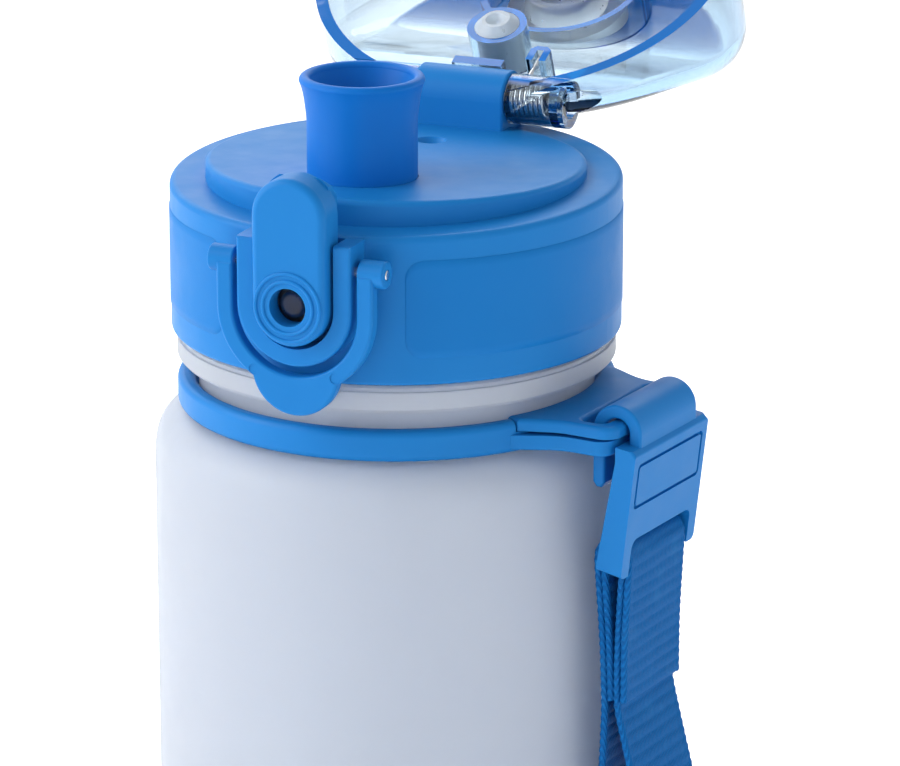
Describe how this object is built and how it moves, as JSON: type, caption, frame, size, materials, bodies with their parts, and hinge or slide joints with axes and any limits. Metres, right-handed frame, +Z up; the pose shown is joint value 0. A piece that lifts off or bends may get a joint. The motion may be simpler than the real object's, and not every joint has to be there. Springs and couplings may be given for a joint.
{
  "type": "sports squeeze bottle",
  "caption": "Round drinking bottle with a screw cap, a spout under a sprung clear cover, a push-button latch with lock bail, and a carry ring with a webbing loop.",
  "frame": {"origin": "middle of the flat base on which the bottle stands", "axes": "+Z up along the bottle; -Y towards the latch button at the front; +Y towards the cover's hinge; the carry tab is near +X"},
  "size_m": [0.0964, 0.1287, 0.2297],
  "materials": {
    "frosted_body": "frosted translucent copolyester",
    "cap_plastic": "satin moulded polypropylene",
    "spout_plastic": "satin soft-touch moulding",
    "clear_cover": "polished clear copolyester with a blue cast",
    "white_silicone": "matte silicone",
    "clear_silicone": "clear glossy silicone",
    "steel": "bright stainless wire and pin",
    "webbing": "woven polyester webbing"
  },
  "bodies": {
    "bottle": {"bottle_body": "frosted_body"},
    "gasket": {"cap_gasket": "white_silicone"},
    "cap": {"cap_body": "cap_plastic", "cap_liner": "cap_plastic", "spout": "spout_plastic", "spout_seal": "white_silicone", "vent_valve": "white_silicone", "latch_pin": "steel", "hinge_pin": "steel"},
    "cover": {"cover": "clear_cover", "spout_stopper": "white_silicone", "vent_stopper": "white_silicone", "hinge_spring": "steel"},
    "button": {"latch_button": "cap_plastic", "button_plug": "clear_silicone"},
    "bail": {"lock_bail": "cap_plastic"},
    "ring": {"carry_ring": "cap_plastic"},
    "buckle": {"strap_buckle": "cap_plastic"},
    "strap": {"strap_webbing": "webbing"}
  },
  "joints": [
    {"name": "cap_lift", "type": "slide", "parent": "bottle", "child": "gasket", "axis": [0, 0, 1], "range_m": [0, 0.01801]},
    {"name": "cap_turn", "type": "hinge", "parent": "gasket", "child": "cap", "pos_m": [0, 0, 0.17], "axis": [0, 0, 1], "range_deg": [0, 810]},
    {"name": "cover_hinge", "type": "hinge", "parent": "cap", "child": "cover", "pos_m": [0, 0.028, 0.199], "axis": [1, 0, 0], "range_deg": [0, 156], "stiffness_Nm_per_rad": 0.02},
    {"name": "button_press", "type": "hinge", "parent": "cap", "child": "button", "pos_m": [0, -0.0357, 0.1879], "axis": [1, 0, 0], "range_deg": [0, 7], "stiffness_Nm_per_rad": 0.05},
    {"name": "bail_swing", "type": "hinge", "parent": "cap", "child": "bail", "pos_m": [0, -0.0357, 0.1879], "axis": [-1, 0, 0], "range_deg": [0, 172]},
    {"name": "ring_swivel", "type": "hinge", "parent": "bottle", "child": "ring", "pos_m": [0, 0, 0.16], "axis": [0, 0, 1], "continuous": true},
    {"name": "buckle_swing", "type": "hinge", "parent": "ring", "child": "buckle", "pos_m": [0.04238, -0.00596, 0.1616], "axis": [-0.1392, -0.9903, 0], "range_deg": [0, 14]},
    {"name": "strap_swing", "type": "hinge", "parent": "buckle", "child": "strap", "pos_m": [0.04174, -0.00587, 0.1418], "axis": [-0.1392, -0.9903, 0], "range_deg": [0, 70]}
  ],
  "couplings": [
    {"joint": "cap_lift", "follows": "cap_turn", "m_per_rad": 0.0012732}
  ]
}
